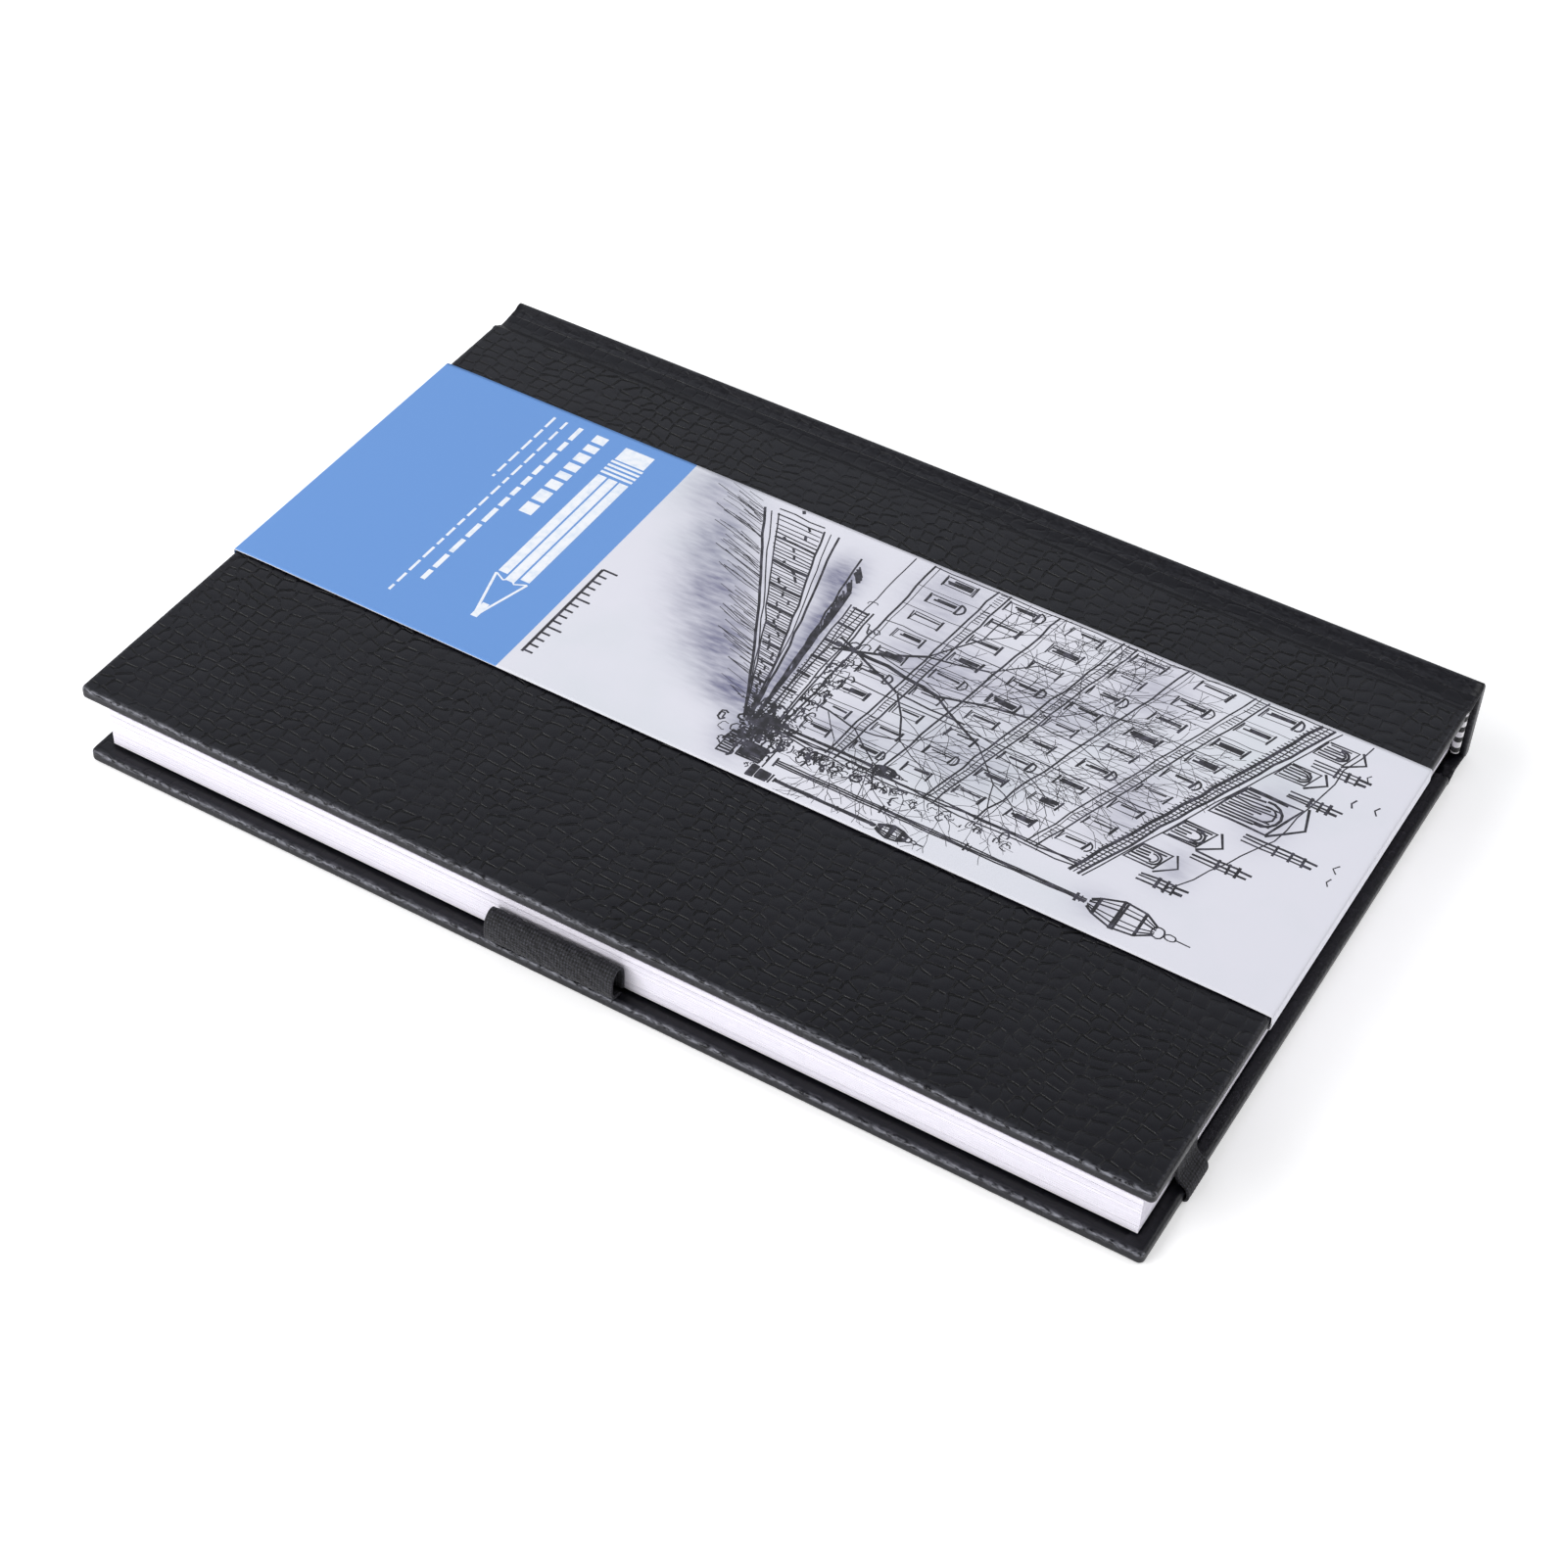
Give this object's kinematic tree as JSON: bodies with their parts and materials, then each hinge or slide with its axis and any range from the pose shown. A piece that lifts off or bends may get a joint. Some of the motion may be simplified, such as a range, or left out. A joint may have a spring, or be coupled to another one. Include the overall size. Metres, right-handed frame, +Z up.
{
  "type": "casebound sketchbook",
  "caption": "Casebound sketchbook with embossed leather-look covers, sewn leaf sections, an elastic strap, a woven pen loop and a printed paper belly band.",
  "frame": {"origin": "centre of the back cover's outer face, on which the closed book lies", "axes": "+X from the spine to the fore edge, +Y from the tail to the head, +Z up through the closed book"},
  "size_m": [0.1502, 0.2266, 0.0195],
  "materials": {
    "leather": "black bonded leather cloth with an irregular scale emboss, satin",
    "greyboard": "raw grey binder's board",
    "paper": "uncoated white drawing paper",
    "endpaper": "uncoated white endpaper, heavier than the leaves",
    "kraft_paper": "brown kraft lining paper",
    "cotton": "starched cotton gauze and linen thread",
    "striped_cloth": "black and white striped headband cloth",
    "elastic": "black woven elastic, ribbed, matt",
    "printed_paper": "smooth printed paper, part blue and part pale grey"
  },
  "bodies": {
    "back_cover": {"back_cover_skin": "leather", "back_board": "greyboard", "back_pastedown": "endpaper", "back_flyleaf": "endpaper", "section_4": "paper", "section_5": "paper", "section_6": "paper", "section_7": "paper", "section_8": "paper", "kraft_lining": "kraft_paper", "spine_gauze": "cotton", "head_band": "striped_cloth", "tail_band": "striped_cloth", "strap_leg_head": "elastic", "strap_leg_tail": "elastic", "pen_loop": "elastic", "sewing_thread_1": "cotton", "sewing_thread_2": "cotton", "sewing_thread_3": "cotton", "sewing_thread_4": "cotton", "sewing_thread_5": "cotton"},
    "spine": {"spine_skin": "leather", "spine_board": "greyboard", "spine_inner_lining": "kraft_paper"},
    "front_cover": {"front_cover_skin": "leather", "front_board": "greyboard", "front_pastedown": "endpaper"},
    "belly_band": {"belly_band": "printed_paper"},
    "front_flyleaf": {"front_flyleaf": "endpaper"},
    "section_1": {"section_1": "paper"},
    "section_2": {"section_2": "paper"},
    "section_3": {"section_3": "paper"},
    "strap": {"elastic_strap": "elastic"}
  },
  "joints": [
    {"name": "front_cover_open", "type": "hinge", "parent": "spine", "child": "front_cover", "pos_m": [-0.07265, 0, 0.01772], "axis": [0, -1, 0], "range_deg": [0, 90]},
    {"name": "spine_fold", "type": "hinge", "parent": "back_cover", "child": "spine", "pos_m": [-0.07265, 0, 0.00135], "axis": [0, -1, 0], "range_deg": [0, 90]},
    {"name": "front_flyleaf_turn", "type": "hinge", "parent": "back_cover", "child": "front_flyleaf", "pos_m": [-0.06985, 0, 0.00954], "axis": [0, -1, 0], "range_deg": [0, 180]},
    {"name": "section_1_turn", "type": "hinge", "parent": "back_cover", "child": "section_1", "pos_m": [-0.06985, 0, 0.00954], "axis": [0, -1, 0], "range_deg": [0, 180], "deforming": ["kraft_lining", "spine_gauze", "head_band", "tail_band", "sewing_thread_1", "sewing_thread_2", "sewing_thread_3", "sewing_thread_4", "sewing_thread_5"]},
    {"name": "section_2_turn", "type": "hinge", "parent": "back_cover", "child": "section_2", "pos_m": [-0.06985, 0, 0.00954], "axis": [0, -1, 0], "range_deg": [0, 180]},
    {"name": "section_3_turn", "type": "hinge", "parent": "back_cover", "child": "section_3", "pos_m": [-0.06985, 0, 0.00954], "axis": [0, -1, 0], "range_deg": [0, 180]},
    {"name": "belly_band_slide", "type": "slide", "parent": "front_cover", "child": "belly_band", "axis": [1, 0, 0], "range_m": [0, 0.125]},
    {"name": "strap_slip", "type": "slide", "parent": "back_cover", "child": "strap", "axis": [1, 0, 0], "range_m": [0, 0.026], "deforming": ["strap_leg_head", "strap_leg_tail"]}
  ],
  "couplings": [
    {"joint": "spine_fold", "follows": "front_cover_open", "ratio": 1},
    {"joint": "front_flyleaf_turn", "follows": "front_cover_open", "ratio": 2},
    {"joint": "section_1_turn", "follows": "front_cover_open", "ratio": 1.99},
    {"joint": "section_2_turn", "follows": "front_cover_open", "ratio": 1.975},
    {"joint": "section_3_turn", "follows": "front_cover_open", "ratio": 1.955}
  ]
}
